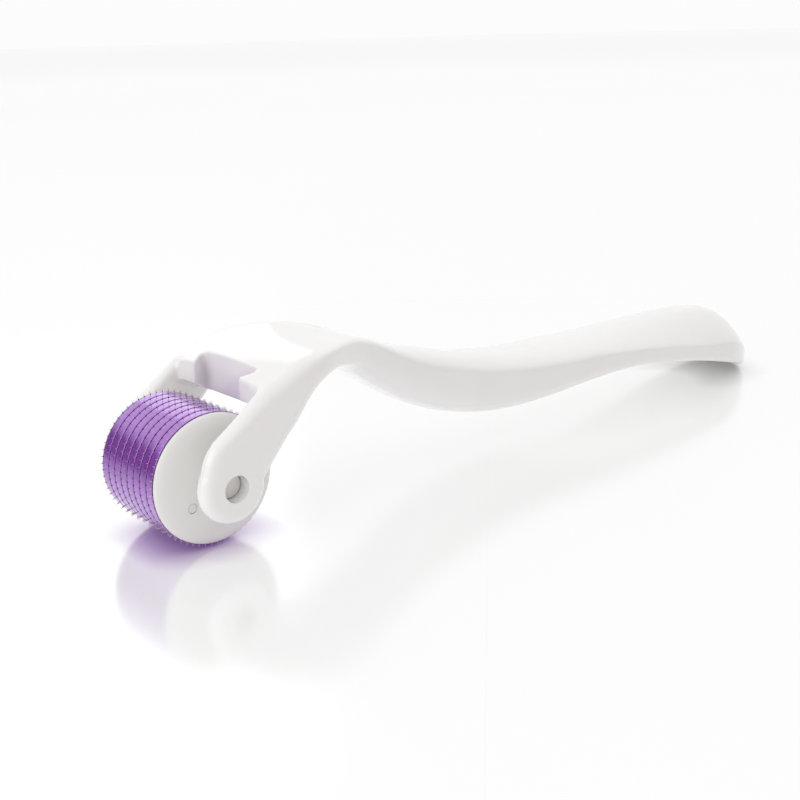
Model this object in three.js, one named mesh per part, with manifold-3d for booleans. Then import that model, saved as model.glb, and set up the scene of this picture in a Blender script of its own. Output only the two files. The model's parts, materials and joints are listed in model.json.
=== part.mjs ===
// A micro-needle skin roller: a one-piece S-curved handle with a forked head, and a drum that spins in the
// fork. Units are millimetres, +Z is up. The handle runs along +X and the drum turns about an axis along Y.
// The object rests on its needles and on the tip of its tail, with the origin on the floor under its middle.
import * as THREE from 'three';
import { mergeVertices } from 'three/addons/utils/BufferGeometryUtils.js';
import { ParametricGeometry } from 'three/addons/geometries/ParametricGeometry.js';
import Module from 'manifold-3d';

const wasm = await Module();
wasm.setup();

// ---- drum ----
const DRUM_RADIUS = 10;
const NEEDLE_LENGTH = 0.5;
const NEEDLE_BASE = 0.28;
const NEEDLES_PER_DISC = 60;
const DISC_COUNT = 9;
const DISC_THICKNESS = 0.24;
const RING_WIDTH = 1.6;
const RING_SIDES = 48;
const DISC_PITCH = DISC_THICKNESS + RING_WIDTH;
const STACK_HALF = ((DISC_COUNT - 1) * DISC_PITCH + DISC_THICKNESS) / 2;

// ---- spindle, pins and end caps ----
const SPINDLE_RADIUS = 2.4;
const SPINDLE_SOCKET = 0.6;
const SPINDLE_SIDES = 12;
const PIN_RADIUS = 0.75;
const PIN_COUNT = 2;
const PIN_CIRCLE = 5.45;
const PIN_FIRST_ANGLE = THREE.MathUtils.degToRad(217);
const PIN_SIDES = 8;
const PIN_END_DEPTH = 0.06;
const SLIP_GAP = 0.1;
const CAP_RADIUS = 9.95;
const CAP_WIDTH = 1.05;
const CAP_EDGE_RADIAL = 2.3;
const CAP_EDGE_AXIAL = 1;
const CAP_EDGE_STEPS = 4;
const CAP_SIDES = 36;
const HUB_RADIUS = 3.2;
const HUB_HEIGHT = 2.15;
const AXLE_RADIUS = 1.94;
const AXLE_LENGTH = 1.1;
const AXLE_SIDES = 24;

// ---- fork ----
const BORE_CLEARANCE = 0.07;
const BORE_RADIUS = (AXLE_RADIUS + BORE_CLEARANCE) / Math.cos(Math.PI / AXLE_SIDES);
const BOSS_RADIUS = 5.5;
const BOSS_START_ANGLE = THREE.MathUtils.degToRad(150);
const FORK_GAP_HALF = 11;
const FORK_HALF = 14;
const WEB_FRONT = 6.2;
const WEB_TOP = 14;
const WEB_BOTTOM = 10.3;
const WEB_LOW = 8.55;
const NOTCH_BACK = 9.1;
const NOTCH_FRONT_HALF = 6;
const NOTCH_BACK_HALF = 8;
const NOTCH_TOP = 15;
const NOTCH_OVERRUN = 1;
const ARM_BEVEL = 1.6;
const ARM_BEVEL_STEPS = 2;
const HEAD_CURVE_STEPS = 4;
const CUT_FRONT = -20;
const CUT_BACK = 24;
const CUT_LOW = -20;
const CUT_HIGH = 25;

// ---- handle ----
const HEAD_END = 22;
const GRIP_START = 13;
const GRIP_FRONT_CONE = 0.05;
const TAIL_START = 118;
const TAIL_END = 138.5;
const TAIL_TIP_Z = -8.4;
const TAIL_ROUNDNESS = 2.3;
const GRIP_STATIONS = 26;
const GRIP_POINTS = 20;
const TOP_SQUARENESS = 0.45;
const LOW_SQUARENESS = 0.64;
const SIDE_SPLIT = 0.3;

// ---- place of the drum axis in the part's frame ----
const REST_RADIUS = DRUM_RADIUS + NEEDLE_LENGTH;
const DRUM_AXIS = new THREE.Vector3((REST_RADIUS - TAIL_END) / 2, 0, REST_RADIUS);

// ---- geometry helpers ----

// Welds a geometry's vertices and drops the zero-area triangles left where a surface closes on a point.
function weld(geometry) {
  geometry.deleteAttribute('normal');
  geometry.deleteAttribute('uv');
  const welded = mergeVertices(geometry, 1e-4);
  const index = welded.getIndex().array;
  const kept = [];
  for (let i = 0; i < index.length; i += 3) {
    const [a, b, c] = [index[i], index[i + 1], index[i + 2]];
    if (a !== b && b !== c && c !== a) kept.push(a, b, c);
  }
  welded.setIndex(kept);
  return welded;
}

function toSolid(geometry) {
  const welded = weld(geometry);
  const vertProperties = new Float32Array(welded.getAttribute('position').array);
  const triVerts = new Uint32Array(welded.getIndex().array);
  return new wasm.Manifold(new wasm.Mesh({ numProp: 3, vertProperties, triVerts }));
}

function toGeometry(solid) {
  const mesh = solid.getMesh();
  const geometry = new THREE.BufferGeometry();
  geometry.setAttribute('position', new THREE.BufferAttribute(new Float32Array(mesh.vertProperties), 3));
  geometry.setIndex(new THREE.BufferAttribute(new Uint32Array(mesh.triVerts), 1));
  return geometry;
}

// A regular polygon path about (x, z), with its first corner on the +x side.
function polygon(PathClass, x, z, radius, sides) {
  const path = new PathClass();
  for (let i = 0; i < sides; i += 1) {
    const angle = (i / sides) * Math.PI * 2;
    const px = x + radius * Math.cos(angle);
    const pz = z + radius * Math.sin(angle);
    if (i === 0) path.moveTo(px, pz);
    else path.lineTo(px, pz);
  }
  path.closePath();
  return path;
}

// Extrudes a shape drawn in the XZ plane along Y, centred on the given Y.
function extrudeAcross(shape, width, centreY, curveSegments = 6) {
  const geometry = new THREE.ExtrudeGeometry(shape, { depth: width, bevelEnabled: false, curveSegments });
  geometry.rotateX(Math.PI / 2);
  geometry.translate(0, centreY + width / 2, 0);
  return geometry;
}

// A smooth function through the given [x, value] points.
function smoothThrough(points) {
  const curve = new THREE.SplineCurve(points.map(([x, value]) => new THREE.Vector2(x, value)));
  const samples = curve.getPoints(points.length * 12);
  return (x) => {
    if (x <= samples[0].x) return samples[0].y;
    for (let i = 1; i < samples.length; i += 1) {
      const [a, b] = [samples[i - 1], samples[i]];
      if (x <= b.x) return a.y + ((b.y - a.y) * (x - a.x)) / (b.x - a.x);
    }
    return samples[samples.length - 1].y;
  };
}

// ---- drum pieces, in the drum's own frame with its axis on Y ----

function pinCentres() {
  const centres = [];
  for (let i = 0; i < PIN_COUNT; i += 1) {
    const angle = PIN_FIRST_ANGLE + (i / PIN_COUNT) * Math.PI * 2;
    centres.push([PIN_CIRCLE * Math.cos(angle), PIN_CIRCLE * Math.sin(angle)]);
  }
  return centres;
}

function cutDrumHoles(shape) {
  shape.holes.push(polygon(THREE.Path, 0, 0, SPINDLE_RADIUS + SLIP_GAP, SPINDLE_SIDES));
  for (const [x, z] of pinCentres()) {
    shape.holes.push(polygon(THREE.Path, x, z, PIN_RADIUS + SLIP_GAP, PIN_SIDES));
  }
  return shape;
}

// A thin steel disc with pointed needles standing on its rim.
function needleDisc(centreY) {
  const shape = new THREE.Shape();
  const halfBase = NEEDLE_BASE / 2 / DRUM_RADIUS;
  for (let i = 0; i < NEEDLES_PER_DISC; i += 1) {
    const angle = (i / NEEDLES_PER_DISC) * Math.PI * 2;
    const corners = [
      [DRUM_RADIUS, angle - halfBase],
      [DRUM_RADIUS + NEEDLE_LENGTH, angle],
      [DRUM_RADIUS, angle + halfBase],
    ];
    for (const [radius, turn] of corners) {
      const x = radius * Math.cos(turn);
      const z = radius * Math.sin(turn);
      if (i === 0 && turn < 0) shape.moveTo(x, z);
      else shape.lineTo(x, z);
    }
  }
  return extrudeAcross(cutDrumHoles(shape), DISC_THICKNESS, centreY);
}

function spacerRing(centreY) {
  const shape = polygon(THREE.Shape, 0, 0, DRUM_RADIUS, RING_SIDES);
  return extrudeAcross(cutDrumHoles(shape), RING_WIDTH, centreY);
}

// The cap's turned outline: inner face, rounded outer edge, thrust hub and stub axle.
function capOutline() {
  const face = STACK_HALF + CAP_WIDTH;
  const points = [new THREE.Vector2(0, STACK_HALF), new THREE.Vector2(CAP_RADIUS, STACK_HALF)];
  for (let i = 0; i <= CAP_EDGE_STEPS; i += 1) {
    const angle = (i / CAP_EDGE_STEPS) * (Math.PI / 2);
    const radius = CAP_RADIUS - CAP_EDGE_RADIAL * (1 - Math.cos(angle));
    const y = face - CAP_EDGE_AXIAL * (1 - Math.sin(angle));
    points.push(new THREE.Vector2(radius, y));
  }
  points.push(new THREE.Vector2(HUB_RADIUS, face));
  points.push(new THREE.Vector2(HUB_RADIUS, face + HUB_HEIGHT));
  points.push(new THREE.Vector2(AXLE_RADIUS, face + HUB_HEIGHT));
  points.push(new THREE.Vector2(AXLE_RADIUS, face + HUB_HEIGHT + AXLE_LENGTH));
  points.push(new THREE.Vector2(0, face + HUB_HEIGHT + AXLE_LENGTH));
  return points;
}

// An end cap on the +Y side, with the spindle socket and the pin holes cut in it.
function endCap() {
  let cap = toSolid(new THREE.LatheGeometry(capOutline(), CAP_SIDES));
  const socketRadius = SPINDLE_RADIUS + SLIP_GAP;
  const socket = new THREE.CylinderGeometry(socketRadius, socketRadius, SPINDLE_SOCKET * 2, SPINDLE_SIDES);
  socket.translate(0, STACK_HALF, 0);
  cap = cap.subtract(toSolid(socket));
  for (const [x, z] of pinCentres()) {
    const holeRadius = PIN_RADIUS + SLIP_GAP;
    const hole = new THREE.CylinderGeometry(holeRadius, holeRadius, CAP_WIDTH * 3, PIN_SIDES);
    hole.translate(x, STACK_HALF, z);
    cap = cap.subtract(toSolid(hole));
  }
  return cap;
}

// ---- handle, in a frame centred on the drum axis ----

// Height of the crown along the top of the handle.
const crown = smoothThrough([
  [13, 16.15], [16, 16.5], [21, 16.55], [25, 16.4], [28, 15.9], [31, 15], [34, 13.95], [38, 12.5], [44, 10.5],
  [54, 7.75], [60, 6.55], [66, 5.6], [72, 4.95], [78, 4.55], [92, 4.3], [106, 4.65], [116, 4.75], [124, 4.3],
  [129.5, 2.9], [133.6, 0.2], [136.8, -3.6], [138.5, -7.9],
]);

// How far the top surface falls from the crown to the side. Behind the head it is slightly dished instead.
const crownDrop = smoothThrough([
  [13, 0.1], [17, -0.2], [21, -0.4], [25, -0.45], [28, -0.45], [31, -0.35], [34, 0.05], [38, 0.6], [44, 1.1],
  [57, 1], [69, 0.8], [82, 0.8], [88, 1.1], [97, 1.9], [106, 3.1], [118, 4.7], [134, 4.2], [138.5, 1.6],
]);

// Height of the lower edge of the side.
const keel = smoothThrough([
  [13, 8.3], [14.8, 10.1], [16.8, 11.4], [19, 12.1], [21.5, 12.35], [24.5, 11.5], [27, 10.25], [29.5, 8.8],
  [32, 7.3], [35, 5.4], [38, 3.5], [41, 1.7], [44, 0.2], [48, -1.4], [54, -3.1], [60, -4.1], [66, -4.5],
  [72, -4.35], [78, -3.7], [88, -3], [97, -2.8], [106, -3.8], [116, -5.6], [126, -8.2], [134, -10.3],
  [138.5, -10.35],
]);

// How far the underside is hollowed between its two lower edges.
const hollow = smoothThrough([[13, 0], [76, 0], [90, 1], [105, 2.6], [120, 3], [132, 2], [138.5, 0]]);

// Half width of the grip up to the tail.
const gripHalf = smoothThrough([
  [13, 13.9], [17, 13.3], [20, 12.2], [23, 10.9], [26, 9.7], [29, 8.8], [33, 8], [40, 7.7], [50, 8], [62, 8.4],
  [75, 8.8], [88, 9.35], [100, 10.2], [112, 11.1], [120, 11.4], [138.5, 11.4],
]);

function halfWidth(x) {
  if (x <= TAIL_START) return gripHalf(x);
  const along = Math.min((x - TAIL_START) / (TAIL_END - TAIL_START), 1);
  return gripHalf(x) * (1 - along ** TAIL_ROUNDNESS) ** (1 / TAIL_ROUNDNESS);
}

// One point of the closed cross-section at x. The turn runs from 0 to 1 around the section, whose widest line
// lies high on its side.
function sectionPoint(x, turn, target) {
  const angle = turn * Math.PI * 2;
  const [cos, sin] = [Math.cos(angle), Math.sin(angle)];
  const squareness = sin > 0 ? TOP_SQUARENESS : LOW_SQUARENESS;
  const across = Math.sign(cos) * Math.abs(cos) ** squareness;
  const edge = crown(x) - crownDrop(x);
  const middle = edge - SIDE_SPLIT * (edge - keel(x));
  const top = crown(x) - crownDrop(x) * across * across;
  const bottom = keel(x) + hollow(x) * (1 - across * across);
  const rise = Math.abs(sin) ** squareness;
  const z = sin > 0 ? middle + (top - middle) * rise : middle + (bottom - middle) * rise;
  return target.set(x, across * halfWidth(x), z);
}

// The grip and tail as one closed loft, with stations crowded towards the rounded end. The first station
// closes the loft's flat front end on a point inside the head, and the last closes it on the tail's tip.
function gripSolid() {
  const step = 1 / GRIP_STATIONS;
  const surface = (along, around, target) => {
    if (along < step / 2) return target.set(GRIP_START, 0, (crown(GRIP_START) + keel(GRIP_START)) / 2);
    if (along > 1 - step / 2) return target.set(TAIL_END, 0, TAIL_TIP_Z);
    const part = (along - step) / (1 - step);
    const x = GRIP_START + GRIP_FRONT_CONE + (TAIL_END - GRIP_START) * Math.sin((part * Math.PI) / 2);
    return sectionPoint(Math.min(x, TAIL_END), (1 - around) % 1, target);
  };
  return toSolid(new ParametricGeometry(surface, GRIP_STATIONS, GRIP_POINTS));
}

// Side view of the head: two round bosses, sloping arms and the top of the shoulders.
function headSideShape() {
  const shape = new THREE.Shape();
  shape.absarc(0, 0, BOSS_RADIUS, BOSS_START_ANGLE, Math.PI * 2, false);
  shape.splineThru([
    new THREE.Vector2(7.4, 2.2),
    new THREE.Vector2(9.6, 4.7),
    new THREE.Vector2(11.7, 6.8),
    new THREE.Vector2(14.8, 10.1),
    new THREE.Vector2(16.8, 11.4),
    new THREE.Vector2(19, 12.1),
  ]);
  shape.lineTo(HEAD_END, 12.5);
  shape.lineTo(HEAD_END, 16.4);
  shape.lineTo(19, 16.5);
  shape.splineThru([
    new THREE.Vector2(16, 16.45),
    new THREE.Vector2(13, 16.1),
    new THREE.Vector2(11, 15.65),
    new THREE.Vector2(NOTCH_BACK, NOTCH_TOP),
  ]);
  shape.lineTo(WEB_FRONT, WEB_TOP);
  shape.splineThru([
    new THREE.Vector2(4.3, 12.4),
    new THREE.Vector2(0.8, 9.5),
    new THREE.Vector2(-2.4, 7.05),
    new THREE.Vector2(-4, 5),
  ]);
  shape.closePath();
  return shape;
}

// Top view of the head: parallel arms and shoulders that narrow to the neck.
function headPlanShape() {
  const shape = new THREE.Shape();
  const front = -BOSS_RADIUS - 1;
  const shoulder = [[10, FORK_HALF], [13, 13.9], [17, 13.1], [20, 11.6], [HEAD_END, 10.4]];
  shape.moveTo(front, -FORK_HALF);
  for (const [x, y] of shoulder) shape.lineTo(x, -y);
  for (const [x, y] of shoulder.reverse()) shape.lineTo(x, y);
  shape.lineTo(front, FORK_HALF);
  shape.closePath();
  return shape;
}

// The space the drum turns in, between the arms and under the web.
function forkGapShape() {
  const shape = new THREE.Shape();
  const underside = [[21.5, 12.4], [18, 12.1], [15.2, 11.2], [13, 9.8], [11.2, 8.8], [NOTCH_BACK, WEB_LOW]];
  shape.moveTo(CUT_FRONT, CUT_LOW);
  shape.lineTo(CUT_BACK, CUT_LOW);
  for (const [x, z] of underside) shape.lineTo(x, z);
  shape.lineTo(WEB_FRONT, WEB_BOTTOM);
  shape.lineTo(WEB_FRONT, CUT_HIGH);
  shape.lineTo(CUT_FRONT, CUT_HIGH);
  shape.closePath();
  return shape;
}

// The flared notch in the front edge of the web, seen from above.
function notchShape() {
  const shape = new THREE.Shape();
  shape.moveTo(WEB_FRONT - NOTCH_OVERRUN, -NOTCH_FRONT_HALF);
  shape.lineTo(NOTCH_BACK, -NOTCH_BACK_HALF);
  shape.lineTo(NOTCH_BACK, NOTCH_BACK_HALF);
  shape.lineTo(WEB_FRONT - NOTCH_OVERRUN, NOTCH_FRONT_HALF);
  shape.closePath();
  return shape;
}

function extrudeUp(shape, fromZ, toZ) {
  const geometry = new THREE.ExtrudeGeometry(shape, { depth: toZ - fromZ, bevelEnabled: false });
  geometry.translate(0, 0, fromZ);
  return geometry;
}

// The head's side view extruded across the fork, with its outer edges rounded over.
function headBlock() {
  const geometry = new THREE.ExtrudeGeometry(headSideShape(), {
    depth: (FORK_HALF - ARM_BEVEL) * 2,
    bevelEnabled: true,
    bevelThickness: ARM_BEVEL,
    bevelSize: ARM_BEVEL,
    bevelOffset: -ARM_BEVEL,
    bevelSegments: ARM_BEVEL_STEPS,
    curveSegments: HEAD_CURVE_STEPS,
  });
  geometry.rotateX(Math.PI / 2);
  geometry.translate(0, FORK_HALF - ARM_BEVEL, 0);
  return geometry;
}

function handleSolid() {
  const block = toSolid(headBlock());
  const plan = toSolid(extrudeUp(headPlanShape(), CUT_LOW, CUT_HIGH));
  const gap = toSolid(extrudeAcross(forkGapShape(), FORK_GAP_HALF * 2, 0));
  const notch = toSolid(extrudeUp(notchShape(), 0, CUT_HIGH));
  const bore = toSolid(new THREE.CylinderGeometry(BORE_RADIUS, BORE_RADIUS, FORK_HALF * 3, AXLE_SIDES));
  return block.intersect(plan).add(gripSolid()).subtract(gap).subtract(notch).subtract(bore);
}

// ---- assembly ----

const materials = {
  handle: { color: 0xf4f2f0, roughness: 0.28, metalness: 0 },
  cap: { color: 0xefedea, roughness: 0.35, metalness: 0 },
  ring: { color: 0x8a3fc0, roughness: 0.2, metalness: 0 },
  steel: { color: 0xb9bbc0, roughness: 0.3, metalness: 1 },
  core: { color: 0xe2dfe6, roughness: 0.45, metalness: 0 },
};

function addMesh(parent, name, geometry, look) {
  const mesh = new THREE.Mesh(geometry, new THREE.MeshStandardMaterial(materials[look]));
  mesh.name = name;
  parent.add(mesh);
  return mesh;
}

const roller = new THREE.Group();
roller.position.copy(DRUM_AXIS);

addMesh(roller, 'handle', toGeometry(handleSolid()), 'handle');

const drum = new THREE.Group();
roller.add(drum);

for (let i = 0; i < DISC_COUNT; i += 1) {
  const y = (i - (DISC_COUNT - 1) / 2) * DISC_PITCH;
  addMesh(drum, `needle_disc_${i + 1}`, weld(needleDisc(y)), 'steel');
  if (i < DISC_COUNT - 1) {
    addMesh(drum, `spacer_ring_${i + 1}`, weld(spacerRing(y + DISC_PITCH / 2)), 'ring');
  }
}

const cap = endCap();
addMesh(drum, 'end_cap_left', toGeometry(cap), 'cap');
addMesh(drum, 'end_cap_right', toGeometry(cap.mirror([0, 1, 0])), 'cap');

const spindleLength = (STACK_HALF + SPINDLE_SOCKET - SLIP_GAP) * 2;
const spindle = new THREE.CylinderGeometry(SPINDLE_RADIUS, SPINDLE_RADIUS, spindleLength, SPINDLE_SIDES);
addMesh(drum, 'drum_spindle', weld(spindle), 'core');

const pinLength = (STACK_HALF + CAP_WIDTH - PIN_END_DEPTH) * 2;
pinCentres().forEach(([x, z], i) => {
  const pin = new THREE.CylinderGeometry(PIN_RADIUS, PIN_RADIUS, pinLength, PIN_SIDES);
  addMesh(drum, `locating_pin_${i + 1}`, weld(pin), 'cap').position.set(x, 0, z);
});

export default roller;
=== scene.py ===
import bpy
import bmesh
import json
import math
import numpy as np
from mathutils import Matrix, Vector


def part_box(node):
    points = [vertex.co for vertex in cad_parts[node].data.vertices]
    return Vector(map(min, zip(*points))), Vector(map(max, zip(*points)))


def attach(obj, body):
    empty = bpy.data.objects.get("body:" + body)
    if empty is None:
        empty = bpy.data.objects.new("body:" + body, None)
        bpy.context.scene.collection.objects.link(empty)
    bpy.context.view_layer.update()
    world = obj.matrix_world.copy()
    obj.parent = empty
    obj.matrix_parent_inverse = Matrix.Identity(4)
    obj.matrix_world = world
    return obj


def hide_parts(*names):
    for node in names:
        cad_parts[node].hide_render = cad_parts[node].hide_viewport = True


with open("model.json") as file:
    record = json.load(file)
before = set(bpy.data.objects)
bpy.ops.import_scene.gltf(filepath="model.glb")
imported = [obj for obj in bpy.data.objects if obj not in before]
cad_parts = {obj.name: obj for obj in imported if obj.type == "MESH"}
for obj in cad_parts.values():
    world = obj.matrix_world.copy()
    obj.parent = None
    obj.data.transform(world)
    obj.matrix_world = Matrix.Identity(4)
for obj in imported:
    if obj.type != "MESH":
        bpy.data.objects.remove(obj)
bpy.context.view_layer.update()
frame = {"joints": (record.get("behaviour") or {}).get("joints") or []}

# A micro-needle skin roller. Shapes are worked out in millimetres in a frame centred on the drum's axis:
# +X runs along the handle, +Y along the axis and +Z up. The drum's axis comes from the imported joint.
MM = 0.001
SPIN_JOINT = next(j for j in frame["joints"] if j["name"] == "drum_spin")
DRUM_AXIS = Vector(SPIN_JOINT["pos_m"])
TO_ROW = Matrix.Translation(DRUM_AXIS) @ Matrix.Scale(MM, 4)

# ---- drum ----
DISC_COUNT = 9
RING_COUNT = 8
PIN_COUNT = 2
NEEDLES_PER_DISC = 60
DISC_RIM = 9.9
DISC_BORE = 2.52
NEEDLE_TIP = 10.5
NEEDLE_BASE_HALF = 0.07
NEEDLE_MID_HALF = 0.04
NEEDLE_TIP_HALF = 0.01
NEEDLE_MID_SHARE = 0.45
# A needle's thickness at its base, middle and tip, as shares of the disc's thickness.
NEEDLE_THINNING = (0.5, 0.28, 0.1)
RIM_POINTS_PER_GAP = 3
# The distance from the axis, in metres, where the painted shade in the grooves gives way to bright tips, and
# how fast.
GROOVE_SHADE_END = 0.01014
GROOVE_SHADE_FADE = 0.00012
RING_RADIUS = 10.0
RING_EDGE = 0.11
RING_CROWN = 0.015
RING_BORE = 2.52
RING_EDGE_STEPS = 5
RING_CROWN_STEPS = 6
ROUND_SEGMENTS = 192
EDGE_ANGLE = 35

# ---- end caps, spindle and pins ----
CAP_LOW, CAP_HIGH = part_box("end_cap_left")
CAP_RADIUS = (CAP_HIGH.x - CAP_LOW.x) / 2 / MM
CAP_INNER_CHAMFER = 0.03
CAP_EDGE_RADIAL = 2.3
CAP_EDGE_AXIAL = 1.0
CAP_EDGE_STEPS = 14
HUB_RADIUS = 3.2
HUB_HEIGHT = 2.15
AXLE_RADIUS = 1.94
AXLE_LENGTH = 1.1
SOCKET_RADIUS = 2.5
SOCKET_DEPTH = 1.1
SPINDLE_RADIUS = 2.4
SPINDLE_CHAMFER = 0.2
SPINDLE_SEGMENTS = 96
PIN_RADIUS = 0.75
PIN_CHAMFER = 0.12
PIN_GAP = 0.02
PIN_SEGMENTS = 40
PIN_HOLE_REACH = 12

# ---- handle ----
BORE_RADIUS = 2.03
BOSS_RADIUS = 5.5
FORK_GAP_HALF = 11.0
FORK_HALF = 14.0
WEB_FRONT = 6.2
WEB_BOTTOM = 10.3
WEB_LOW = 8.55
NOTCH_BACK = 9.1
NOTCH_FRONT_HALF = 6.0
NOTCH_BACK_HALF = 8.0
NOTCH_OVERRUN = 3.0
HEAD_END = 28.0
GRIP_START = 11.0
BLEND_START = 11.0
BLEND_END = 25.0
TAIL_START = 118.0
TAIL_END = 138.5
TAIL_ROUNDNESS = 2.3

# Each pair lists places, then the value at each of them; between places the value is interpolated.
# Rounding of the head's outer edges, along x.
ARM_EDGE = ([0, 6, 16], [1.8, 2.2, 2.6])
# Rounding where the gap between the arms breaks through, by distance from the middle plane.
GAP_EDGE = ([9, 10.8], [0.4, 1.4])
# Crown of the head's top, as a share of the squared distance from the middle plane, along x.
HEAD_CROWN = ([8, 20], [0.0045, -0.004])
CROWN_START = 7.0
CROWN_FADE = 6.0
# The grip's widest line lies this share of the way down its side.
SIDE_SPLIT = 0.3
# Squareness of the grip's section above and below its widest line, along x.
TOP_POWER = ([12, 24, 45, 88, 110], [6.0, 5.0, 3.7, 3.4, 2.6])
LOW_POWER = ([12, 20, 27, 38, 50, 80, 100], [6.0, 5.0, 2.7, 2.6, 3.0, 3.4, 5.0])
GAP_CORNER = 1.0
NOTCH_EDGE = 0.28
NOTCH_CORNER = 0.4
NOTCH_ROUND = 0.8
BORE_EDGE = 0.12

# Bounds of the shapes that cut the head, past its own outline, and of the tables that hold its outlines.
CUT_FRONT = -20
CUT_BACK = 24
CUT_LOW = -20
CUT_HIGH = 25
SIDE_LOW, SIDE_HIGH = (-9, -9), (32, 21)
PLAN_LOW, PLAN_HIGH = (-9, -17), (32, 17)
# Fields are held at this depth, in millimetres, inside the solid.
DEEPEST = -4
THINNEST = 0.2
NARROWEST = 0.05
SLOPE_REACH = 0.03
LARGEST_MOVE = 0.25
SETTLE_ROUNDS = 3
LANDING_ROUNDS = 6


# ---- curves ----


def catmull(points, per_span=16):
    """Points along a uniform Catmull-Rom curve through the given points."""
    p = np.array(points, float)
    ends = np.vstack([p[:1], p, p[-1:]])
    t = np.linspace(0, 1, per_span, endpoint=False)[:, None]
    out = []
    for i in range(len(p) - 1):
        a, b, c, d = ends[i : i + 4]
        v0 = (c - a) * 0.5
        v1 = (d - b) * 0.5
        out.append((2 * b - 2 * c + v0 + v1) * t**3 + (-3 * b + 3 * c - 2 * v0 - v1) * t**2 + v0 * t + b)
    out.append(p[-1:])
    return np.vstack(out)


def smooth_through(points):
    samples = catmull(points)
    return lambda x: np.interp(x, samples[:, 0], samples[:, 1])


# The grip's outlines along x: its top line, how far the top falls to its edge, its lowest line, the hollow
# under it and half its width.
crown = smooth_through(
    [
        (11, 15.8), (13, 16.15), (16, 16.5), (21, 16.55), (25, 16.4), (28, 15.9), (31, 15.0), (34, 13.95),
        (38, 12.5), (44, 10.5), (54, 7.75), (60, 6.55), (66, 5.6), (72, 4.95), (78, 4.55), (92, 4.3),
        (106, 4.65),
        (116, 4.75), (124, 4.3), (129.5, 2.9), (133.6, 0.2), (136.8, -3.6), (138.5, -7.9),
    ]
)
crown_drop = smooth_through(
    [
        (11, 0.3), (17, -0.2), (21, -0.4), (25, -0.45), (28, -0.45), (31, -0.35), (34, 0.05), (38, 0.6),
        (44, 1.1), (57, 1.0), (69, 0.8), (82, 0.8), (88, 1.1), (97, 1.9), (106, 3.1), (118, 4.7), (134, 4.2),
        (138.5, 1.6),
    ]
)
keel = smooth_through(
    [
        (11, 6.2), (13.3, 8.6), (14.8, 10.1), (16.8, 11.4), (19, 12.1), (21.5, 12.35), (24.5, 11.5),
        (27, 10.25),
        (29.5, 8.8), (32, 7.3), (35, 5.4), (38, 3.5), (41, 1.7), (44, 0.2), (48, -1.4), (54, -3.1),
        (60, -4.1), (66, -4.5), (72, -4.35), (78, -3.9), (88, -3.0), (97, -2.8), (106, -3.8), (116, -5.6),
        (126, -8.2), (134, -10.3), (138.5, -10.35),
    ]
)
hollow = smooth_through([(11, 0), (76, 0), (90, 1), (105, 2.6), (120, 3), (132, 2), (138.5, 0)])
grip_half = smooth_through(
    [
        (11, 14), (13, 13.9), (17, 13.3), (20, 12.2), (23, 10.9), (26, 9.7), (29, 8.8), (33, 8.0), (40, 7.7),
        (50, 8), (62, 8.4), (75, 8.8), (88, 9.35), (100, 10.2), (112, 11.1), (120, 11.4), (138.5, 11.4),
    ]
)


def half_width(x):
    along = np.clip((x - TAIL_START) / (TAIL_END - TAIL_START), 0, 1)
    return grip_half(x) * (1 - along**TAIL_ROUNDNESS) ** (1 / TAIL_ROUNDNESS)


def arc(radius, start_deg, end_deg, steps=48):
    a = np.radians(np.linspace(start_deg, end_deg, steps))
    return np.stack([radius * np.cos(a), radius * np.sin(a)], 1)


def head_side_outline():
    """The head from the side: the round boss, the rear edge, the top and the sloping front of an arm."""
    boss = arc(BOSS_RADIUS, 150, 360)
    rear = catmull(
        [
            boss[-1], (7.4, 2.2), (9.6, 4.7), (11.7, 6.8), (13.3, 8.6), (14.8, 10.1), (16.8, 11.4),
            (19, 12.1), (21.5, 12.35), (24.5, 11.5), (HEAD_END, 9.6),
        ]
    )
    top = catmull(
        [
            (HEAD_END, 15.9), (25, 16.4), (21, 16.55), (16, 16.5), (13, 16.15), (11, 15.7),
            (NOTCH_BACK, 15.0),
        ]
    )
    front = catmull([(WEB_FRONT, 14.0), (4.3, 12.4), (0.8, 9.5), (-2.4, 7.05), (-4.0, 5.0), boss[0]])
    return np.vstack([boss[:-1], rear, top, front[:-1]])


def head_plan_outline():
    """The head from above: straight arms that pull in to the neck."""
    side = catmull(
        [
            (-8, FORK_HALF), (2, FORK_HALF), (10, FORK_HALF), (13, 13.9), (17, 13.3), (20, 12.2), (23, 10.9),
            (26, 9.7), (HEAD_END, 9),
        ]
    )
    return np.vstack([side * [1, -1], side[::-1]])


def fork_gap_outline():
    """The space between the arms from the side: open at the front, under the web and behind the drum."""
    return np.array(
        [
            (CUT_FRONT, CUT_LOW), (CUT_BACK, CUT_LOW), (CUT_BACK, 10.5), (21.5, 12.5), (18, 12.2),
            (15.2, 11.2), (13, 9.8), (11.2, 8.8), (NOTCH_BACK, WEB_LOW), (WEB_FRONT, WEB_BOTTOM),
            (WEB_FRONT, CUT_HIGH), (CUT_FRONT, CUT_HIGH),
        ],
        float,
    )


def notch_outline():
    """The notch from above, flaring towards its back wall, drawn inside its edge by its corner rounding."""
    flare = math.atan2(NOTCH_BACK_HALF - NOTCH_FRONT_HALF, NOTCH_BACK - WEB_FRONT)
    back = NOTCH_BACK - NOTCH_ROUND
    inset = NOTCH_ROUND / math.cos(flare)
    front_half = NOTCH_FRONT_HALF - inset
    back_half = front_half + (back - WEB_FRONT) * math.tan(flare)
    near_side = [(WEB_FRONT - NOTCH_OVERRUN, -front_half), (WEB_FRONT, -front_half), (back, -back_half)]
    far_side = [(x, -y) for x, y in reversed(near_side)]
    return np.array(near_side + far_side, float)



# ---- distance fields, in millimetres and negative inside ----


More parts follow.
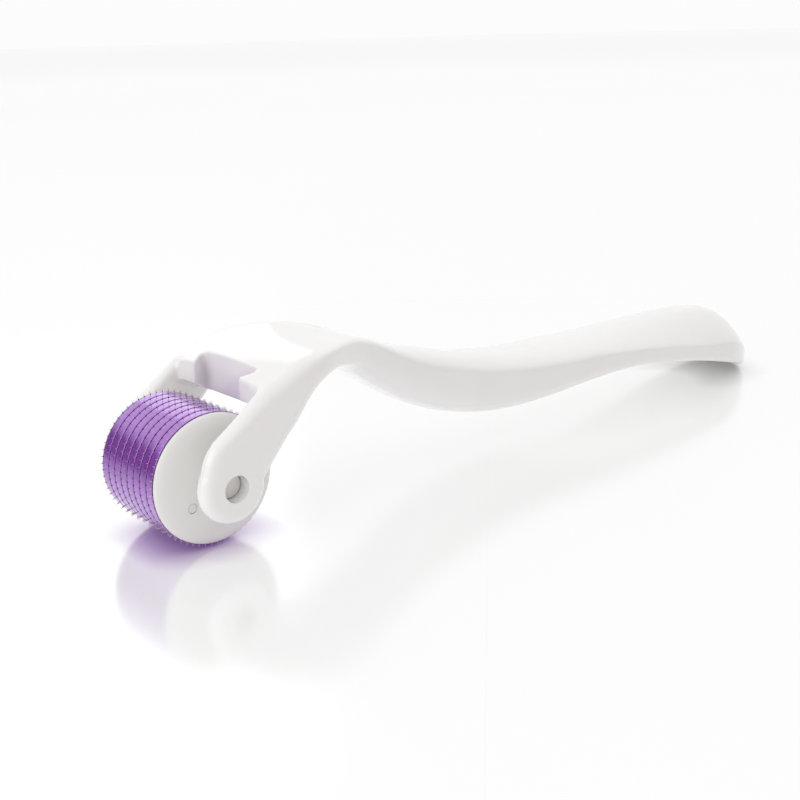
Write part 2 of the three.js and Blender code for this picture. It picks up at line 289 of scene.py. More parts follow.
class OutlineField:
    """Signed distance to a closed outline, tabulated on a fine grid and read back smoothly."""

    def __init__(self, outline, low, high, step=0.12):
        self.low = np.array(low, float)
        self.step = step
        count = np.ceil((np.array(high, float) - self.low) / step).astype(int) + 1
        self.count = count
        ga = self.low[0] + step * np.arange(count[0])
        gb = self.low[1] + step * np.arange(count[1])
        a, b = [g.ravel() for g in np.meshgrid(ga, gb, indexing="ij")]
        start = outline
        end = np.roll(outline, -1, axis=0)
        best = np.full(a.shape, 1e18)
        inside = np.zeros(a.shape, bool)
        for (x0, y0), (x1, y1) in zip(start, end):
            dx, dy = x1 - x0, y1 - y0
            length2 = dx * dx + dy * dy
            if length2 < 1e-18:
                continue
            t = np.clip(((a - x0) * dx + (b - y0) * dy) / length2, 0, 1)
            best = np.minimum(best, (a - x0 - t * dx) ** 2 + (b - y0 - t * dy) ** 2)
            if y0 != y1:
                crosses = (y0 > b) != (y1 > b)
                inside ^= crosses & (a < x0 + dx * (b - y0) / dy)
        self.table = (np.sqrt(best) * np.where(inside, -1, 1)).reshape(count)

    def __call__(self, a, b):
        top = self.low + self.step * (self.count - 1)
        ca = np.clip(a, self.low[0], top[0])
        cb = np.clip(b, self.low[1], top[1])
        u = (ca - self.low[0]) / self.step
        v = (cb - self.low[1]) / self.step
        i = np.minimum(u.astype(int), self.count[0] - 2)
        j = np.minimum(v.astype(int), self.count[1] - 2)
        fu = u - i
        fv = v - j
        t = self.table
        near = t[i, j] * (1 - fu) * (1 - fv) + t[i + 1, j] * fu * (1 - fv)
        far = t[i, j + 1] * (1 - fu) * fv + t[i + 1, j + 1] * fu * fv
        return near + far + np.hypot(a - ca, b - cb)


def round_meet(a, b, radius):
    """Intersection of two fields with its outer edge rounded."""
    corner = np.hypot(np.maximum(a + radius, 0), np.maximum(b + radius, 0))
    return np.minimum(np.maximum(a, b), -radius) + corner


SIDE_FIELD = OutlineField(head_side_outline(), SIDE_LOW, SIDE_HIGH)
PLAN_FIELD = OutlineField(head_plan_outline(), PLAN_LOW, PLAN_HIGH)
GAP_FIELD = OutlineField(fork_gap_outline(), SIDE_LOW, SIDE_HIGH)
NOTCH_FIELD = OutlineField(notch_outline(), PLAN_LOW, PLAN_HIGH)


def grip_field(x, y, z):
    """The grip and tail, a squarish section with its widest line high on its side."""
    cx = np.clip(x, GRIP_START, TAIL_END - 1e-3)
    width = np.maximum(half_width(cx), NARROWEST)
    top_line = crown(cx)
    drop = crown_drop(cx)
    low_line = keel(cx)
    across = np.abs(y) / width
    bent = np.minimum(across, 1.6) ** 2
    edge = top_line - drop
    middle = edge - SIDE_SPLIT * (edge - low_line)
    top = top_line - drop * bent - middle
    bottom = middle - low_line - hollow(cx) * (1 - bent)
    up = z - middle
    upper = up > 0
    power = np.where(upper, np.interp(cx, *TOP_POWER), np.interp(cx, *LOW_POWER))
    rise = np.where(upper, up / np.maximum(top, THINNEST), -up / np.maximum(bottom, THINNEST))
    size = (across**power + rise**power) ** (1 / power)
    reach = np.hypot(y, up)
    field = np.where(size > 1e-6, reach * (1 - 1 / np.maximum(size, 1e-6)), DEEPEST)
    field = np.maximum(field, DEEPEST)
    return np.maximum(field, x - TAIL_END)


def head_field(x, y, z):
    """The head as one block: its side view and plan view crossed, with a gently curved top."""
    lift = np.interp(x, *HEAD_CROWN) * y * y * np.clip((z - CROWN_START) / CROWN_FADE, 0, 1)
    return round_meet(SIDE_FIELD(x, z + lift), PLAN_FIELD(x, y), np.interp(x, *ARM_EDGE))


def handle_field(x, y, z):
    """The head blended into the grip, less the fork's gap, the notch and the axle's bore."""
    along = np.clip((x - BLEND_START) / (BLEND_END - BLEND_START), 0, 1)
    share = along * along * (3 - 2 * along)
    body = np.maximum(head_field(x, y, z), DEEPEST) * (1 - share) + grip_field(x, y, z) * share
    gap = round_meet(GAP_FIELD(x, z), np.abs(y) - FORK_GAP_HALF, GAP_CORNER)
    body = round_meet(body, -gap, np.interp(np.abs(y), *GAP_EDGE))
    notch = round_meet(NOTCH_FIELD(x, y) - NOTCH_ROUND, -z, NOTCH_CORNER)
    body = round_meet(body, -notch, NOTCH_EDGE)
    bore = BORE_RADIUS - np.hypot(x, z)
    return round_meet(body, bore, BORE_EDGE)


# ---- surface from a field ----


def axis_lines(spans):
    """Grid lines along one axis from (start, end, spacing) spans laid end to end."""
    lines = []
    for start, end, spacing in spans:
        count = max(1, round((end - start) / spacing))
        lines.append(np.linspace(start, end, count, endpoint=False))
    lines.append(np.array([spans[-1][1]]))
    return np.concatenate(lines)


def net_surface(field, xs, ys, zs):
    """A closed quad mesh over the field's zero level, with one vertex in each grid cell it passes through."""
    value = field(xs[:, None, None], ys[None, :, None], zs[None, None, :])
    inside = value < 0
    cells = np.zeros(tuple(n - 1 for n in value.shape), np.int8)
    offsets = [(i, j, k) for i in (0, 1) for j in (0, 1) for k in (0, 1)]
    for i, j, k in offsets:
        cells += inside[i : i + cells.shape[0], j : j + cells.shape[1], k : k + cells.shape[2]]
    where = np.argwhere((cells > 0) & (cells < 8))
    number = np.full(cells.shape, -1, np.int32)
    number[tuple(where.T)] = np.arange(len(where))
    lines = (xs, ys, zs)
    total = np.zeros((len(where), 3))
    hits = np.zeros(len(where))
    for a in offsets:
        for axis in range(3):
            if a[axis]:
                continue
            b = list(a)
            b[axis] = 1
            ia = where + a
            ib = where + b
            va = value[tuple(ia.T)]
            vb = value[tuple(ib.T)]
            crossing = (va < 0) != (vb < 0)
            t = np.where(crossing, va / np.where(crossing, va - vb, 1), 0)
            pa = np.stack([lines[n][ia[:, n]] for n in range(3)], 1)
            pb = np.stack([lines[n][ib[:, n]] for n in range(3)], 1)
            total += (pa + t[:, None] * (pb - pa)) * crossing[:, None]
            hits += crossing
    points = total / hits[:, None]
    quads = []
    for axis in range(3):
        u, v = (axis + 1) % 3, (axis + 2) % 3
        low = [slice(None)] * 3
        high = [slice(None)] * 3
        low[axis] = slice(0, -1)
        high[axis] = slice(1, None)
        edge = np.argwhere(inside[tuple(low)] != inside[tuple(high)])
        keep = (edge[:, u] > 0) & (edge[:, v] > 0)
        keep &= (edge[:, u] < value.shape[u] - 1) & (edge[:, v] < value.shape[v] - 1)
        edge = edge[keep]
        ring = []
        for du, dv in ((-1, -1), (0, -1), (0, 0), (-1, 0)):
            cell = edge.copy()
            cell[:, u] += du
            cell[:, v] += dv
            ring.append(number[tuple(cell.T)])
        ring = np.stack(ring, 1)
        flip = ~inside[tuple(edge.T)]
        ring[flip] = ring[flip][:, ::-1]
        quads.append(ring)
    return points, np.vstack(quads)


def gradient(field, p):
    out = np.zeros_like(p)
    for n in range(3):
        step = np.zeros(3)
        step[n] = SLOPE_REACH
        a = p + step
        b = p - step
        rise = field(a[:, 0], a[:, 1], a[:, 2]) - field(b[:, 0], b[:, 1], b[:, 2])
        out[:, n] = rise / (2 * SLOPE_REACH)
    return out


def settle(field, p, quads):
    """Evens the mesh out along the surface, then brings every vertex onto it."""
    edges = np.vstack([quads[:, [0, 1]], quads[:, [1, 2]], quads[:, [2, 3]], quads[:, [3, 0]]])
    degree = np.zeros(len(p))
    np.add.at(degree, edges[:, 0], 1)
    np.add.at(degree, edges[:, 1], 1)
    for n in range(SETTLE_ROUNDS + LANDING_ROUNDS):
        if n < SETTLE_ROUNDS:
            mean = np.zeros_like(p)
            for c in range(3):
                mean[:, c] += np.bincount(edges[:, 0], p[edges[:, 1], c], len(p))
                mean[:, c] += np.bincount(edges[:, 1], p[edges[:, 0], c], len(p))
            mean /= degree[:, None]
            slope = gradient(field, p)
            normal = slope / np.maximum(np.linalg.norm(slope, axis=1), 1e-6)[:, None]
            shift = mean - p
            shift -= (shift * normal).sum(1)[:, None] * normal
            p = p + 0.5 * shift
        slope = gradient(field, p)
        value = field(p[:, 0], p[:, 1], p[:, 2])
        size = np.maximum((slope**2).sum(1), 0.05)
        move = -(value / size)[:, None] * slope
        far = np.linalg.norm(move, axis=1)
        move *= np.minimum(1, LARGEST_MOVE / np.maximum(far, 1e-9))[:, None]
        p = p + move
    return p


# ---- materials ----


def new_material(name):
    material = bpy.data.materials.new(name)
    material.use_nodes = True
    tree = material.node_tree
    return material, tree, tree.nodes["Principled BSDF"]


def node(tree, kind, **values):
    made = tree.nodes.new(kind)
    for key, value in values.items():
        if key in made.inputs:
            made.inputs[key].default_value = value
        else:
            setattr(made, key, value)
    return made


def object_coordinates(tree):
    return node(tree, "ShaderNodeTexCoord").outputs["Object"]


def noise(tree, vector, scale, detail=3.0, roughness=0.5):
    made = node(tree, "ShaderNodeTexNoise", Scale=scale, Detail=detail, Roughness=roughness)
    tree.links.new(vector, made.inputs["Vector"])
    return made.outputs["Fac"]


def remap(tree, value, low, high, from_low=0.0, from_high=1.0):
    made = tree.nodes.new("ShaderNodeMapRange")
    made.inputs["From Min"].default_value = from_low
    made.inputs["From Max"].default_value = from_high
    made.inputs["To Min"].default_value = low
    made.inputs["To Max"].default_value = high
    tree.links.new(value, made.inputs["Value"])
    return made.outputs["Result"]


def mix_colour(tree, factor, a, b):
    made = tree.nodes.new("ShaderNodeMix")
    made.data_type = "RGBA"
    made.inputs[6].default_value = (*a, 1)
    made.inputs[7].default_value = (*b, 1)
    tree.links.new(factor, made.inputs[0])
    return made.outputs[2]


def bump(tree, height, strength, distance, under=None):
    made = node(tree, "ShaderNodeBump", Strength=strength, Distance=distance)
    tree.links.new(height, made.inputs["Height"])
    if under is not None:
        tree.links.new(under, made.inputs["Normal"])
    return made.outputs["Normal"]


def moulded_plastic(name, light, deep, gloss_low, gloss_high, subsurface, peel_strength, coat):
    """Glossy moulded plastic: faint tone drift, fine orange peel and uneven gloss."""
    material, tree, shader = new_material(name)
    at = object_coordinates(tree)
    drift = remap(tree, noise(tree, at, 45.0), 0, 1, 0.35, 0.65)
    tree.links.new(mix_colour(tree, drift, light, deep), shader.inputs["Base Color"])
    gloss = remap(tree, noise(tree, at, 320.0, 4.0), gloss_low, gloss_high, 0.3, 0.7)
    tree.links.new(gloss, shader.inputs["Roughness"])
    peel = bump(tree, noise(tree, at, 500.0, 2.0), peel_strength, 0.00002)
    grain = bump(tree, noise(tree, at, 5200.0, 2.0), 0.08, 0.00001, peel)
    tree.links.new(grain, shader.inputs["Normal"])
    shader.inputs["IOR"].default_value = 1.5
    shader.inputs["Coat Weight"].default_value = coat
    shader.inputs["Coat Roughness"].default_value = 0.05
    shader.inputs["Coat IOR"].default_value = 1.6
    shader.inputs["Subsurface Weight"].default_value = subsurface
    shader.inputs["Subsurface Radius"].default_value = (1.0, 0.92, 0.86)
    shader.inputs["Subsurface Scale"].default_value = 0.002
    return material


def violet_plastic(name):
    """Tinted glossy plastic: a mirror-like skin over a deep body, with faint turning lines and clouding."""
    material, tree, shader = new_material(name)
    at = object_coordinates(tree)
    cloud = remap(tree, noise(tree, at, 420.0, 4.0, 0.6), 0, 1, 0.35, 0.65)
    tone = mix_colour(tree, cloud, (0.35, 0.065, 0.6), (0.28, 0.045, 0.5))
    tree.links.new(tone, shader.inputs["Base Color"])
    stretch = node(tree, "ShaderNodeMapping", Scale=(60.0, 5200.0, 60.0))
    tree.links.new(at, stretch.inputs["Vector"])
    lines = noise(tree, stretch.outputs["Vector"], 1.0, 2.0)
    tree.links.new(remap(tree, lines, 0.06, 0.12, 0.3, 0.7), shader.inputs["Roughness"])
    turned_lines = bump(tree, lines, 0.15, 0.00002)
    ripple = bump(tree, noise(tree, at, 900.0, 2.0), 0.12, 0.00003, turned_lines)
    tree.links.new(ripple, shader.inputs["Normal"])
    shader.inputs["Metallic"].default_value = 0.5
    shader.inputs["Specular Tint"].default_value = (0.86, 0.76, 1.0, 1)
    shader.inputs["Coat Weight"].default_value = 1.0
    shader.inputs["Coat IOR"].default_value = 2.2
    shader.inputs["Coat Roughness"].default_value = 0.03
    shader.inputs["IOR"].default_value = 1.6
    return material


def etched_steel(name):
    """Grainy etched steel, with violet painted shade in the grooves between the rings and bright on the
    needle tips.
    """
    material, tree, shader = new_material(name)
    at = object_coordinates(tree)
    from_axis = node(tree, "ShaderNodeVectorMath", operation="SUBTRACT")
    tree.links.new(at, from_axis.inputs[0])
    from_axis.inputs[1].default_value = tuple(DRUM_AXIS)
    flat = node(tree, "ShaderNodeVectorMath", operation="MULTIPLY")
    tree.links.new(from_axis.outputs[0], flat.inputs[0])
    flat.inputs[1].default_value = (1, 0, 1)
    radius = node(tree, "ShaderNodeVectorMath", operation="LENGTH")
    tree.links.new(flat.outputs[0], radius.inputs[0])
    tip_share = remap(tree, radius.outputs["Value"], 0, 1, GROOVE_SHADE_END - GROOVE_SHADE_FADE, GROOVE_SHADE_END)
    grain = noise(tree, at, 1500.0, 4.0, 0.6)
    spread = remap(tree, grain, 0, 1, 0.3, 0.7)
    # Painted shade: the disc is dark and violet where it sits in the grooves between the rings.
    painted_groove_shade = mix_colour(tree, spread, (0.16, 0.09, 0.2), (0.07, 0.03, 0.1))
    bright = mix_colour(tree, spread, (0.8, 0.74, 0.77), (0.66, 0.58, 0.63))
    tone = tree.nodes.new("ShaderNodeMix")
    tone.data_type = "RGBA"
    tree.links.new(tip_share, tone.inputs[0])
    tree.links.new(painted_groove_shade, tone.inputs[6])
    tree.links.new(bright, tone.inputs[7])
    tree.links.new(tone.outputs[2], shader.inputs["Base Color"])
    tree.links.new(remap(tree, grain, 0.25, 0.4, 0.3, 0.7), shader.inputs["Roughness"])
    tree.links.new(bump(tree, noise(tree, at, 6000.0, 2.0), 0.2, 0.00001), shader.inputs["Normal"])
    tree.links.new(remap(tree, tip_share, 1.0, 0.35), shader.inputs["Metallic"])
    return material


WHITE = moulded_plastic(
    "white_plastic", light=(0.92, 0.915, 0.905), deep=(0.90, 0.893, 0.882), gloss_low=0.05, gloss_high=0.08,
    subsurface=0.2, peel_strength=0.03, coat=0.5,
)
CAP = moulded_plastic(
    "cap_plastic", light=(0.875, 0.865, 0.845), deep=(0.868, 0.858, 0.838), gloss_low=0.24, gloss_high=0.27,
    subsurface=0.2, peel_strength=0.01, coat=0.0,
)
CORE = moulded_plastic(
    "core_plastic", light=(0.76, 0.72, 0.78), deep=(0.72, 0.68, 0.74), gloss_low=0.45, gloss_high=0.55,
    subsurface=0.0, peel_strength=0.05, coat=0.0,
)
VIOLET = violet_plastic("violet_plastic")
STEEL = etched_steel("needle_steel")


# ---- pieces ----


def add_piece(name, points, faces, material, body, node_name):
    """A mesh given in millimetres about the drum's axis, moved to its place and riding on its body."""
    mesh = bpy.data.meshes.new(name)
    mesh.from_pydata([tuple(p) for p in points], [], [tuple(int(i) for i in f) for f in faces])
    mesh.transform(TO_ROW)
    mesh.validate()
    mesh.update()
    piece = bpy.data.objects.new(name, mesh)
    bpy.context.scene.collection.objects.link(piece)
    mesh.materials.append(material)
    mesh.shade_smooth()
    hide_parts(node_name)
    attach(piece, body)
    return piece


def crisp_edges(piece):
    """Smooth shading that breaks only at the piece's real edges."""
    piece.data.shade_smooth()
    piece.data.set_sharp_from_angle(angle=math.radians(EDGE_ANGLE))


def turned(profile, segments):
    """A closed profile of (radius, y) points turned about Y; a radius of zero closes on the axis."""
    angles = np.linspace(0, 2 * math.pi, segments, endpoint=False)
    points = []
    rings = []
    for radius, y in profile:
        if radius <= 0:
            rings.append([len(points)] * segments)
            points.append((0.0, y, 0.0))
        else:
            rings.append(list(range(len(points), len(points) + segments)))
            points.extend((radius * math.cos(a), y, radius * math.sin(a)) for a in angles)
    faces = []
    closed = profile[0][0] > 0
    spans = len(rings) if closed else len(rings) - 1
    for i in range(spans):
        a = rings[i]
        b = rings[(i + 1) % len(rings)]
        for k in range(segments):
            m = (k + 1) % segments
            loop = [a[k], a[m], b[m], b[k]]
            face = [v for n, v in enumerate(loop) if v != loop[n - 1]]
            if len(face) > 2:
                faces.append(face)
    return points, faces


def node_span(name):
    """The (lowest, highest) y of a CAD node in millimetres about the drum's axis."""
    low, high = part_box(name)
    return (low.y - DRUM_AXIS.y) / MM, (high.y - DRUM_AXIS.y) / MM


def pin_centres():
    centres = []
    for i in range(PIN_COUNT):
        low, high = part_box(f"locating_pin_{i + 1}")
        middle = ((low + high) / 2 - DRUM_AXIS) / MM
        centres.append((middle.x, middle.z))
    return centres


PIN_CENTRES = pin_centres()


def outward(mesh):
    """Turns every face of a closed mesh outwards."""
    bm = bmesh.new()
    bm.from_mesh(mesh)
    bmesh.ops.recalc_face_normals(bm, faces=bm.faces)
    bm.to_mesh(mesh)
    bm.free()


def cut_with(piece, cutter):
    """Cuts the cutter's solid out of the piece and drops the cutter."""
    modifier = piece.modifiers.new("cut", "BOOLEAN")
    modifier.operation = "DIFFERENCE"
    modifier.solver = "EXACT"
    modifier.object = cutter
    bpy.context.view_layer.update()
    graph = bpy.context.evaluated_depsgraph_get()
    mesh = bpy.data.meshes.new_from_object(piece.evaluated_get(graph))
    piece.modifiers.clear()
    piece.data = mesh


def pin_hole_cutter():
    points = []
    faces = []
    radius = PIN_RADIUS + PIN_GAP
    profile = [(0, -PIN_HOLE_REACH), (radius, -PIN_HOLE_REACH), (radius, PIN_HOLE_REACH), (0, PIN_HOLE_REACH)]
    for x, z in PIN_CENTRES:
        made, made_faces = turned(profile, PIN_SEGMENTS)
        start = len(points)
        points.extend((p[0] + x, p[1], p[2] + z) for p in made)
        faces.extend([[v + start for v in f] for f in made_faces])
    mesh = bpy.data.meshes.new("pin_hole_cutter")
    mesh.from_pydata(points, [], faces)
    mesh.transform(TO_ROW)
    outward(mesh)
    cutter = bpy.data.objects.new("pin_hole_cutter", mesh)
    bpy.context.scene.collection.objects.link(cutter)
    return cutter


def build_handle():
    """The handle's surface, netted more finely where it curves tightly."""
    grain = 1.0
    fine = 0.22 * grain
    xs = axis_lines(
        [
            (-5.6, -2.5, fine), (-2.5, 2.5, 0.13 * grain), (2.5, 29.0, fine), (29.0, TAIL_START, 0.5 * grain),
            (TAIL_START, 133.0, 0.35 * grain), (133.0, 137.2, 0.2 * grain), (137.2, 138.8, 0.08 * grain),
        ]
    )
    ys = axis_lines(
        [(-14.4, -10.4, 0.16 * grain), (-10.4, 10.4, 0.26 * grain), (10.4, 14.4, 0.16 * grain)]
    )
    zs = axis_lines(
        [(-11.1, -2.5, 0.24 * grain), (-2.5, 2.5, 0.15 * grain), (2.5, 17.6, 0.22 * grain)]
    )
    points, quads = net_surface(handle_field, xs, ys, zs)
    points = settle(handle_field, points, quads)
    add_piece("handle_body", points, quads, WHITE, "handle", "handle")


def needled_rim():
    """The disc's rim as (radius, angle, share of full thickness), one tapering needle after another."""
    pitch = 2 * math.pi / NEEDLES_PER_DISC
    base = NEEDLE_BASE_HALF / DISC_RIM
    middle = NEEDLE_MID_HALF / DISC_RIM
    tip = NEEDLE_TIP_HALF / DISC_RIM
    middle_radius = DISC_RIM + (NEEDLE_TIP - DISC_RIM) * NEEDLE_MID_SHARE
    at_base, at_middle, at_tip = NEEDLE_THINNING
    spike = [
        (DISC_RIM, -base, at_base),
        (middle_radius, -middle, at_middle),
        (NEEDLE_TIP, -tip, at_tip),
        (NEEDLE_TIP, tip, at_tip),
        (middle_radius, middle, at_middle),
        (DISC_RIM, base, at_base),
    ]
    outline = []
    for i in range(NEEDLES_PER_DISC):
        centre = i * pitch
        for radius, turn, thick in spike:
            outline.append((radius, centre + turn, thick))
        for part in range(1, RIM_POINTS_PER_GAP + 1):
            along = (pitch - 2 * base) * part / (RIM_POINTS_PER_GAP + 1)
            outline.append((DISC_RIM, centre + base + along, 1.0))
    return outline


def needle_disc(index):
    low, high = node_span(f"needle_disc_{index}")
    outline = needled_rim()
    count = len(outline)
    middle = (low + high) / 2
    half = (high - low) / 2
    points = []
    for side in (-1, 1):
        for radius, angle, thick in outline:
            points.append((radius * math.cos(angle), middle + side * half * thick, radius * math.sin(angle)))
    for side in (-1, 1):
        for radius, angle, thick in outline:
            points.append((DISC_BORE * math.cos(angle), middle + side * half, DISC_BORE * math.sin(angle)))
    faces = []
    for k in range(count):
        m = (k + 1) % count
        faces.append((k, m, count + m, count + k))
        faces.append((2 * count + k, 3 * count + k, 3 * count + m, 2 * count + m))
        faces.append((k, 2 * count + k, 2 * count + m, m))
        faces.append((count + k, count + m, 3 * count + m, 3 * count + k))
    return points, faces


def ring_profile(index):
    """A spacer ring's section: rounded rims and a slightly crowned face."""
    low, high = node_span(f"spacer_ring_{index}")
    profile = [(RING_BORE, low)]
    for i in range(RING_EDGE_STEPS + 1):
        a = i / RING_EDGE_STEPS * math.pi / 2
        profile.append((RING_RADIUS - RING_EDGE * (1 - math.sin(a)), low + RING_EDGE * (1 - math.cos(a))))
    for i in range(1, RING_CROWN_STEPS):
        t = i / RING_CROWN_STEPS
        lift = RING_CROWN * math.sin(t * math.pi)
        profile.append((RING_RADIUS + lift, low + RING_EDGE + (high - low - 2 * RING_EDGE) * t))
    for i in range(RING_EDGE_STEPS, -1, -1):
        a = i / RING_EDGE_STEPS * math.pi / 2
        profile.append((RING_RADIUS - RING_EDGE * (1 - math.sin(a)), high - RING_EDGE * (1 - math.cos(a))))
    profile.append((RING_BORE, high))
    return profile


def cap_profile(side):
    """An end cap's section: spindle socket, face with a long rounded rim, hub and stub axle."""
    low, high = node_span("end_cap_left" if side > 0 else "end_cap_right")
    inner = low if side > 0 else -high
    outer = high if side > 0 else -low
    face = outer - AXLE_LENGTH - HUB_HEIGHT
    profile = [(0, inner + SOCKET_DEPTH), (SOCKET_RADIUS, inner + SOCKET_DEPTH), (SOCKET_RADIUS, inner)]
    profile.append((CAP_RADIUS - CAP_INNER_CHAMFER, inner))
    for i in range(CAP_EDGE_STEPS + 1):
        a = i / CAP_EDGE_STEPS * math.pi / 2
        radius = CAP_RADIUS - CAP_EDGE_RADIAL * (1 - math.cos(a))
        profile.append((radius, face - CAP_EDGE_AXIAL * (1 - math.sin(a))))
    profile.append((HUB_RADIUS + 0.3, face))
    profile.append((HUB_RADIUS + 0.08, face + 0.08))
    profile.append((HUB_RADIUS, face + 0.3))
    profile.append((HUB_RADIUS, face + HUB_HEIGHT))
    profile.append((AXLE_RADIUS, face + HUB_HEIGHT))
    profile.append((AXLE_RADIUS, outer - 0.25))
    profile.append((AXLE_RADIUS - 0.07, outer - 0.07))
    profile.append((AXLE_RADIUS - 0.25, outer))
    profile.append((0, outer))
    return [(r, y * side) for r, y in profile]


def rod_profile(name, radius, chamfer):
    """A plain rod as long as its CAD node, with chamfered ends."""
    low, high = node_span(name)
    return [
        (0, low), (radius - chamfer, low), (radius, low + chamfer), (radius, high - chamfer),
        (radius - chamfer, high), (0, high),
    ]


def build_drum():
    cutter = pin_hole_cutter()
    pieces = []
    for i in range(1, DISC_COUNT + 1):
        points, faces = needle_disc(i)
        name = f"needle_disc_{i}"
        pieces.append(add_piece(name + "_fine", points, faces, STEEL, "drum", name))
    for i in range(1, RING_COUNT + 1):
        points, faces = turned(ring_profile(i), ROUND_SEGMENTS)
        name = f"spacer_ring_{i}"
        pieces.append(add_piece(name + "_fine", points, faces, VIOLET, "drum", name))
    for side, label in ((1, "left"), (-1, "right")):
        points, faces = turned(cap_profile(side), ROUND_SEGMENTS)
        name = f"end_cap_{label}"
        pieces.append(add_piece(name + "_fine", points, faces, CAP, "drum", name))
    for piece in pieces:
        outward(piece.data)
        cut_with(piece, cutter)
        crisp_edges(piece)
    bpy.data.objects.remove(cutter)

    points, faces = turned(rod_profile("drum_spindle", SPINDLE_RADIUS, SPINDLE_CHAMFER), SPINDLE_SEGMENTS)
    spindle = add_piece("drum_spindle_fine", points, faces, CORE, "drum", "drum_spindle")
    crisp_edges(spindle)
    outward(spindle.data)
    for i, (x, z) in enumerate(PIN_CENTRES):
        name = f"locating_pin_{i + 1}"
        points, faces = turned(rod_profile(name, PIN_RADIUS, PIN_CHAMFER), PIN_SEGMENTS)
        points = [(p[0] + x, p[1], p[2] + z) for p in points]
        pin = add_piece(name + "_fine", points, faces, CAP, "drum", name)
        crisp_edges(pin)
        outward(pin.data)


build_handle()
build_drum()


# ---- floor, light and camera ----

scene = bpy.context.scene
scene.view_settings.view_transform = "Standard"

FLOOR_HALF = 12.0
FLOOR_GREY = 0.32
FLOOR_GLOW = 0.67
# The glow left where something touches the floor, a painted contact shadow, and how far that shadow reaches.
CONTACT_GLOW = FLOOR_GLOW / 5
CONTACT_REACH = 0.006
MIRROR_GAIN = 1.3
# The light that the clear rings let through onto the floor, and how far from the drum's axis it ends.
RING_TINT = (0.5, 0.12, 0.85)
TINT_REACH = (0.014, 0.024)


def build_floor():
    """A pale glowing table under a soft mirror that strengthens at low angles; its glow dims into a painted
    contact shadow where something touches it and turns to painted violet light beside the drum."""
    material, tree, shader = new_material("floor_paint")
    tree.nodes.remove(shader)
    at = object_coordinates(tree)
    matt = node(tree, "ShaderNodeBsdfDiffuse", Color=(FLOOR_GREY, FLOOR_GREY, FLOOR_GREY, 1))
    open_sky = node(tree, "ShaderNodeAmbientOcclusion", Distance=CONTACT_REACH, samples=8)
    glow = tree.nodes.new("ShaderNodeEmission")
    tree.links.new(remap(tree, open_sky.outputs["AO"], CONTACT_GLOW, FLOOR_GLOW), glow.inputs["Strength"])
    # Painted light: the glow turns violet in the contact shadow beside the drum.
    split = node(tree, "ShaderNodeSeparateXYZ")
    tree.links.new(at, split.inputs[0])
    tint_start, tint_end = (DRUM_AXIS.x + reach for reach in TINT_REACH)
    by_drum = remap(tree, split.outputs["X"], 1.0, 0.0, tint_start, tint_end)
    tinted = node(tree, "ShaderNodeMath", operation="MULTIPLY")
    tree.links.new(by_drum, tinted.inputs[0])
    tree.links.new(remap(tree, open_sky.outputs["AO"], 1.0, 0.0), tinted.inputs[1])
    tree.links.new(mix_colour(tree, tinted.outputs[0], (1.0, 1.0, 1.0), RING_TINT), glow.inputs["Color"])
    body = tree.nodes.new("ShaderNodeAddShader")
    tree.links.new(matt.outputs[0], body.inputs[0])
    tree.links.new(glow.outputs[0], body.inputs[1])
    mirror = node(tree, "ShaderNodeBsdfGlossy", Color=(1, 1, 1, 1))
    tree.links.new(remap(tree, noise(tree, at, 6.0), 0.15, 0.19), mirror.inputs["Roughness"])
    share = node(tree, "ShaderNodeFresnel", IOR=2.4)
    mixed = tree.nodes.new("ShaderNodeMixShader")
    tree.links.new(remap(tree, share.outputs[0], 0.0, MIRROR_GAIN), mixed.inputs[0])
    tree.links.new(body.outputs[0], mixed.inputs[1])
    tree.links.new(mirror.outputs[0], mixed.inputs[2])
    tree.links.new(mixed.outputs[0], tree.nodes["Material Output"].inputs["Surface"])
    corners = [(x * FLOOR_HALF, y * FLOOR_HALF, 0) for x, y in ((-1, -1), (1, -1), (1, 1), (-1, 1))]
    mesh = bpy.data.meshes.new("floor")
    mesh.from_pydata(corners, [], [(0, 1, 2, 3)])
    floor = bpy.data.objects.new("floor", mesh)
    scene.collection.objects.link(floor)
    mesh.materials.append(material)


def dark_patch(tree, at, height, direction, reach, top):
    """How much of a soft dark patch lies at a direction: 1 at its middle on the horizon, 0 away from it."""
    facing = node(tree, "ShaderNodeVectorMath", operation="DOT_PRODUCT")
    facing.inputs[1].default_value = direction
    tree.links.new(at, facing.inputs[0])
    side = remap(tree, facing.outputs["Value"], 0.0, 1.0, *reach)
    low = remap(tree, height, 1.0, 0.0, *top)
    both = node(tree, "ShaderNodeMath", operation="MULTIPLY")
    tree.links.new(low, both.inputs[0])
    tree.links.new(side, both.inputs[1])
    return both.outputs[0]


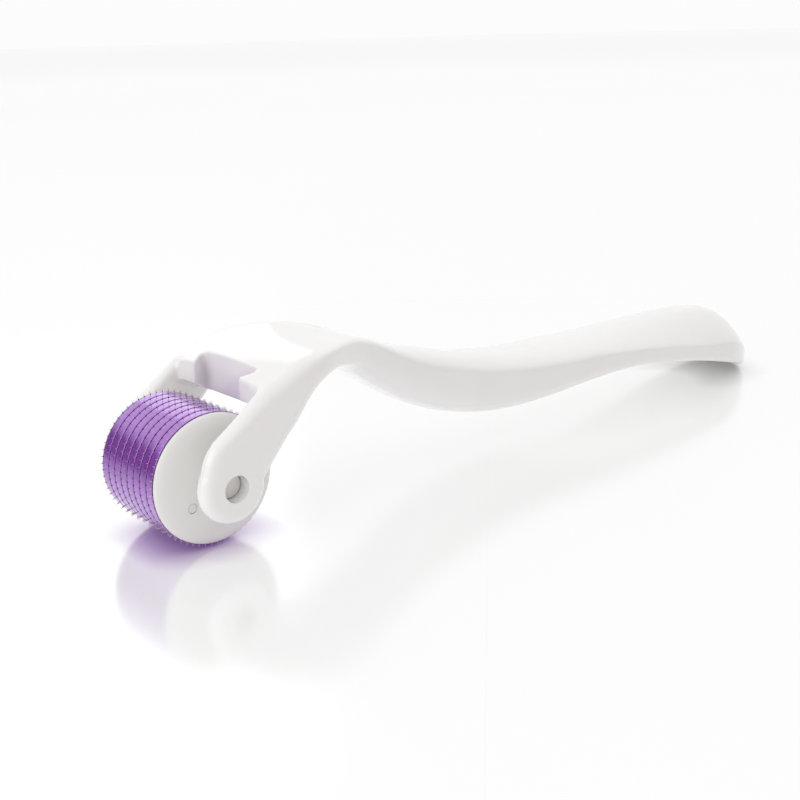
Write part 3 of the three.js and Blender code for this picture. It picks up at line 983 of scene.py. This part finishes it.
def build_world():
    """Soft white surroundings with two dark patches near the horizon: in front of the handle's near side, and
    off to the left where the rings mirror it."""
    world = bpy.data.worlds.new("studio")
    scene.world = world
    world.use_nodes = True
    tree = world.node_tree
    back = tree.nodes["Background"]
    at = node(tree, "ShaderNodeTexCoord").outputs["Generated"]
    split = node(tree, "ShaderNodeSeparateXYZ")
    tree.links.new(at, split.inputs[0])
    height = split.outputs["Z"]
    front = dark_patch(tree, at, height, (0.1, -0.99, 0.0), (0.1, 0.7), (0.35, 0.85))
    left = dark_patch(tree, at, height, (-0.62, 0.78, 0.0), (0.8, 0.93), (0.25, 0.55))
    lit = mix_colour(tree, front, (1.0, 1.0, 1.0), (0.44, 0.4, 0.4))
    shade = tree.nodes.new("ShaderNodeMix")
    shade.data_type = "RGBA"
    shade.inputs[7].default_value = (0.17, 0.13, 0.18, 1)
    tree.links.new(left, shade.inputs[0])
    tree.links.new(lit, shade.inputs[6])
    tree.links.new(shade.outputs[2], back.inputs["Color"])
    back.inputs["Strength"].default_value = 0.975


def add_light(name, place, target, size, power):
    data = bpy.data.lights.new(name, "AREA")
    data.shape = "RECTANGLE"
    data.size, data.size_y = size
    data.energy = power
    lamp = bpy.data.objects.new(name, data)
    lamp.location = place
    lamp.rotation_mode = "QUATERNION"
    lamp.rotation_quaternion = (Vector(target) - Vector(place)).to_track_quat("-Z", "Y")
    scene.collection.objects.link(lamp)


CAMERA_AZIMUTH = math.radians(-40.31)
CAMERA_ELEVATION = math.radians(17.07)
CAMERA_ROLL = math.radians(-1.52)
CAMERA_PLACE = Vector((-85.45, -150.89, 61.76))
CAMERA_LENS = 54.0


def build_camera():
    data = bpy.data.cameras.new("camera")
    data.lens = CAMERA_LENS
    data.sensor_width = 36.0
    data.clip_start = 0.005
    data.clip_end = 20.0
    camera = bpy.data.objects.new("camera", data)
    back = Vector(
        (
            math.sin(CAMERA_AZIMUTH) * math.cos(CAMERA_ELEVATION),
            -math.cos(CAMERA_AZIMUTH) * math.cos(CAMERA_ELEVATION),
            math.sin(CAMERA_ELEVATION),
        )
    )
    right = (-back).cross(Vector((0, 0, 1))).normalized()
    up = right.cross(-back)
    c, s = math.cos(CAMERA_ROLL), math.sin(CAMERA_ROLL)
    axis_x = right * c + up * s
    axis_y = up * c - right * s
    rotation = Matrix((axis_x, axis_y, back)).transposed()
    camera.matrix_world = Matrix.Translation(DRUM_AXIS + CAMERA_PLACE * MM) @ rotation.to_4x4()
    scene.collection.objects.link(camera)
    scene.camera = camera


build_floor()
build_world()
# A broad light overhead, a card behind for the highlight along the drum's top, and a fill from the left.
add_light("overhead", (0.05, 0.15, 0.9), (0, 0, 0), (1.2, 1.2), 0.35)
add_light("back_card", (0.156, 0.5, 0.27), (-0.064, 0, 0.01), (0.25, 0.25), 0.08)
add_light("left_fill", (-0.75, -0.1, 0.4), (-0.04, 0, 0.01), (0.7, 0.5), 1.1)
build_camera()
